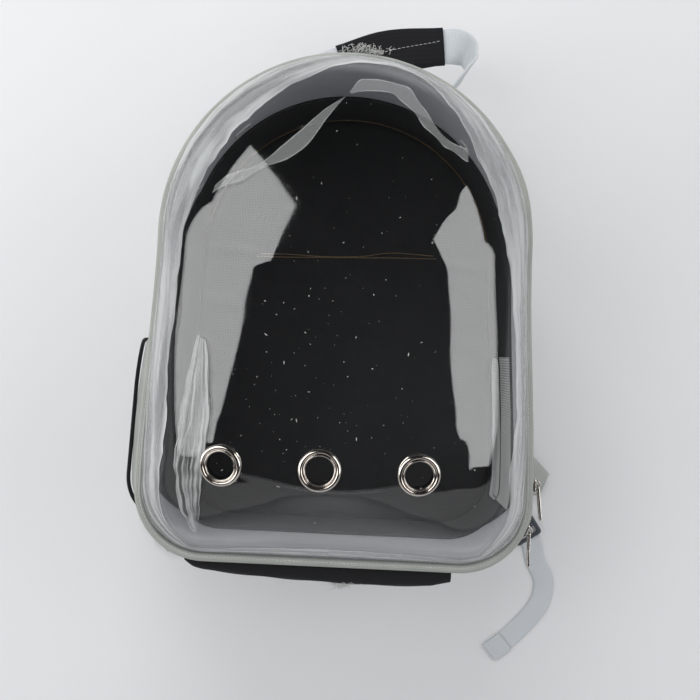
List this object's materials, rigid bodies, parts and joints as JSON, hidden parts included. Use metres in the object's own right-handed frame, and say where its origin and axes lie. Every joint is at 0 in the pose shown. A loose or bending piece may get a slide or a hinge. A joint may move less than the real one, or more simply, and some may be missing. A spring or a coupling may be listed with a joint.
{
  "type": "bubble pet carrier backpack",
  "caption": "Arched soft-sided pet carrier backpack with a clear domed front, vent grommets, mesh window, side pockets, carry handle and shoulder straps.",
  "frame": {"origin": "on the resting face of the back pad, behind the middle of the rim", "axes": "+X across the pack to the net pocket's side, +Y from its base to its handle, +Z from the back through the clear dome"},
  "size_m": [0.4079, 0.611, 0.2933],
  "materials": {
    "grey_fabric": "woven polyester, matt",
    "black_fabric": "woven polyester, matt",
    "pad_fabric": "air mesh over foam",
    "webbing": "ribbed polyester webbing",
    "netting": "open polyester mesh",
    "zipper_tape": "twill tape",
    "zipper_teeth": "nylon coil",
    "clear_shell": "clear vacuum-formed sheet",
    "nickel": "plated, polished",
    "slider_metal": "plated, polished",
    "buckle_plastic": "moulded"
  },
  "bodies": {
    "pack": {"back_pad": "pad_fabric", "back_board": "grey_fabric", "back_lining": "black_fabric", "side_gusset": "grey_fabric", "rear_lining": "black_fabric", "window_mesh": "netting", "left_pocket": "grey_fabric", "left_pocket_piping": "black_fabric", "side_net": "netting", "side_net_binding": "black_fabric", "bubble_shell": "clear_shell", "grommet_left": "nickel", "grommet_middle": "nickel", "grommet_right": "nickel", "cover_rim": "grey_fabric", "zipper_tape": "zipper_tape", "zipper_teeth": "zipper_teeth", "hinge_strip": "black_fabric", "hinge_end_tab": "black_fabric", "slider_upper": "slider_metal", "slider_lower": "slider_metal", "handle_webbing": "webbing", "handle_wrap": "black_fabric", "shoulder_pad_right": "pad_fabric", "shoulder_webbing_right": "webbing", "strap_buckle_right": "buckle_plastic", "strap_tail_right": "webbing", "anchor_tab_right": "grey_fabric", "shoulder_pad_left": "pad_fabric", "shoulder_webbing_left": "webbing", "strap_buckle_left": "buckle_plastic", "strap_tail_left": "webbing", "anchor_tab_left": "grey_fabric"},
    "pull_upper": {"pull_upper": "slider_metal"},
    "pull_lower": {"pull_lower": "slider_metal"}
  },
  "joints": [
    {"name": "pull_upper_swing", "type": "hinge", "parent": "pack", "child": "pull_upper", "pos_m": [0.16638, -0.13487, 0.1948], "axis": [0, 0, 1], "range_deg": [-5, 165]},
    {"name": "pull_lower_swing", "type": "hinge", "parent": "pack", "child": "pull_lower", "pos_m": [0.16092, -0.17337, 0.1948], "axis": [0, 0, 1], "range_deg": [-20, 120]}
  ]
}
